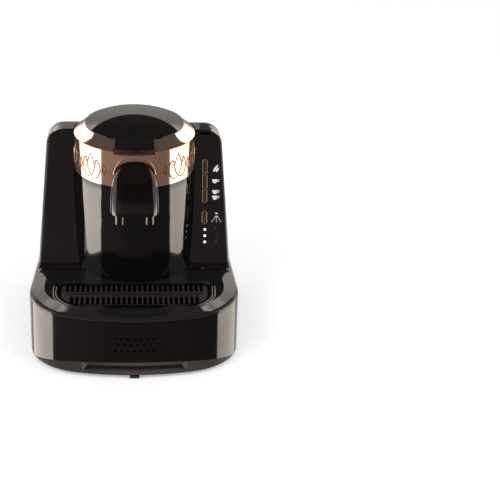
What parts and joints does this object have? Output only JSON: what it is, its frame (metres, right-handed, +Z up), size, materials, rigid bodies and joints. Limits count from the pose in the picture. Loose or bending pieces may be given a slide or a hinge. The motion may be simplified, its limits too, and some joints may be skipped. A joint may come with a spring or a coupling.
{
  "type": "electric turkish coffee maker",
  "caption": "Glossy black electric Turkish coffee maker: leaning tower, round brewing column with a gilt ring and hinged lid, spout hood, drip tray over a drawer, rear water tank.",
  "frame": {"origin": "centre of the base, on the table under the rubber feet", "axes": "+Z up, the front with the drawer and the spout faces -Y, the keys are on the +X side"},
  "size_m": [0.2598, 0.28, 0.2882],
  "materials": {
    "black_gloss": "glossy",
    "black_satin": "satin",
    "rose_gold": "plated, satin",
    "bronze": "metallic paint",
    "dark_red": "satin",
    "steel": "brushed",
    "cast_aluminium": "cast",
    "black_rubber": "matte",
    "silicone": "matte",
    "pump_plastic": "satin",
    "circuit_board": "lacquered",
    "lens": "clear",
    "smoked_tank": "smoked, clear"
  },
  "bodies": {
    "machine": {"base_pan": "black_satin", "base_housing": "black_gloss", "deck_cover": "black_gloss", "tower_shell": "black_gloss", "rear_cover": "black_satin", "column_shell": "black_gloss", "decor_band": "rose_gold", "spout_socket": "rose_gold", "brew_pot": "steel", "pot_seal": "silicone", "heater_plate": "cast_aluminium", "heater_bracket": "steel", "temp_probe": "steel", "pour_tube": "steel", "pump": "pump_plastic", "pump_mounts": "black_rubber", "inlet_hose": "silicone", "outlet_hose": "silicone", "main_board": "circuit_board", "control_board": "circuit_board", "buzzer": "black_satin", "led_lenses": "lens", "tank_seat": "black_satin", "cord_gland": "black_rubber", "feet": "black_rubber", "base_screws": "steel", "cover_screws": "steel", "lid_hinge_pin": "steel"},
    "lid": {"brew_lid": "black_gloss", "lid_liner": "black_satin", "lid_seal": "silicone"},
    "spout": {"spout_hood": "black_gloss", "spout_channel": "black_satin", "nozzle_left": "black_satin", "nozzle_right": "black_satin"},
    "flame_key": {"button_flame": "bronze"},
    "one_cup_key": {"button_one_cup": "bronze"},
    "two_cups_key": {"button_two_cups": "bronze"},
    "rinse_key": {"button_rinse": "bronze"},
    "tank": {"water_tank": "smoked_tank", "tank_grip": "black_satin", "tank_valve": "pump_plastic", "tank_hinge_pin": "steel"},
    "tank_cover": {"tank_lid": "black_gloss", "tank_lid_tab": "black_satin"},
    "tray": {"drip_tray": "black_satin"},
    "grille": {"drip_grille": "black_satin", "grille_bar": "dark_red"},
    "drawer": {"waste_container": "black_satin", "front_panel": "black_gloss"},
    "size_selector": {"cup_size_tab": "black_satin"}
  },
  "joints": [
    {"name": "lid_hinge", "type": "hinge", "parent": "machine", "child": "lid", "pos_m": [0, 0.095, 0.2664], "axis": [-1, 0, 0], "range_deg": [0, 75]},
    {"name": "spout_pull", "type": "slide", "parent": "machine", "child": "spout", "axis": [0, -1, 0], "range_m": [0, 0.045]},
    {"name": "flame_press", "type": "slide", "parent": "machine", "child": "flame_key", "axis": [0, 0.9749, -0.2229], "range_m": [0, 0.0012], "stiffness_N_per_m": 400, "springref_m": -0.002},
    {"name": "one_cup_press", "type": "slide", "parent": "machine", "child": "one_cup_key", "axis": [0, 0.9749, -0.2229], "range_m": [0, 0.0012], "stiffness_N_per_m": 400, "springref_m": -0.002},
    {"name": "two_cups_press", "type": "slide", "parent": "machine", "child": "two_cups_key", "axis": [0, 0.9749, -0.2229], "range_m": [0, 0.0012], "stiffness_N_per_m": 400, "springref_m": -0.002},
    {"name": "rinse_press", "type": "slide", "parent": "machine", "child": "rinse_key", "axis": [0, 0.9749, -0.2229], "range_m": [0, 0.0012], "stiffness_N_per_m": 400, "springref_m": -0.002},
    {"name": "tank_lift", "type": "slide", "parent": "machine", "child": "tank", "axis": [0, 0, 1], "range_m": [0, 0.19]},
    {"name": "tank_cover_hinge", "type": "hinge", "parent": "tank", "child": "tank_cover", "pos_m": [0, 0.1345, 0.225], "axis": [-1, 0, 0], "range_deg": [0, 70]},
    {"name": "tray_lift", "type": "slide", "parent": "machine", "child": "tray", "axis": [0, 0, 1], "range_m": [0, 0.04]},
    {"name": "grille_lift", "type": "slide", "parent": "tray", "child": "grille", "axis": [0, 0, 1], "range_m": [0, 0.03]},
    {"name": "drawer_slide", "type": "slide", "parent": "machine", "child": "drawer", "axis": [0, -1, 0], "range_m": [0, 0.11]},
    {"name": "cup_size_slide", "type": "slide", "parent": "machine", "child": "size_selector", "axis": [1, 0, 0], "range_m": [-0.008, 0.008]}
  ]
}
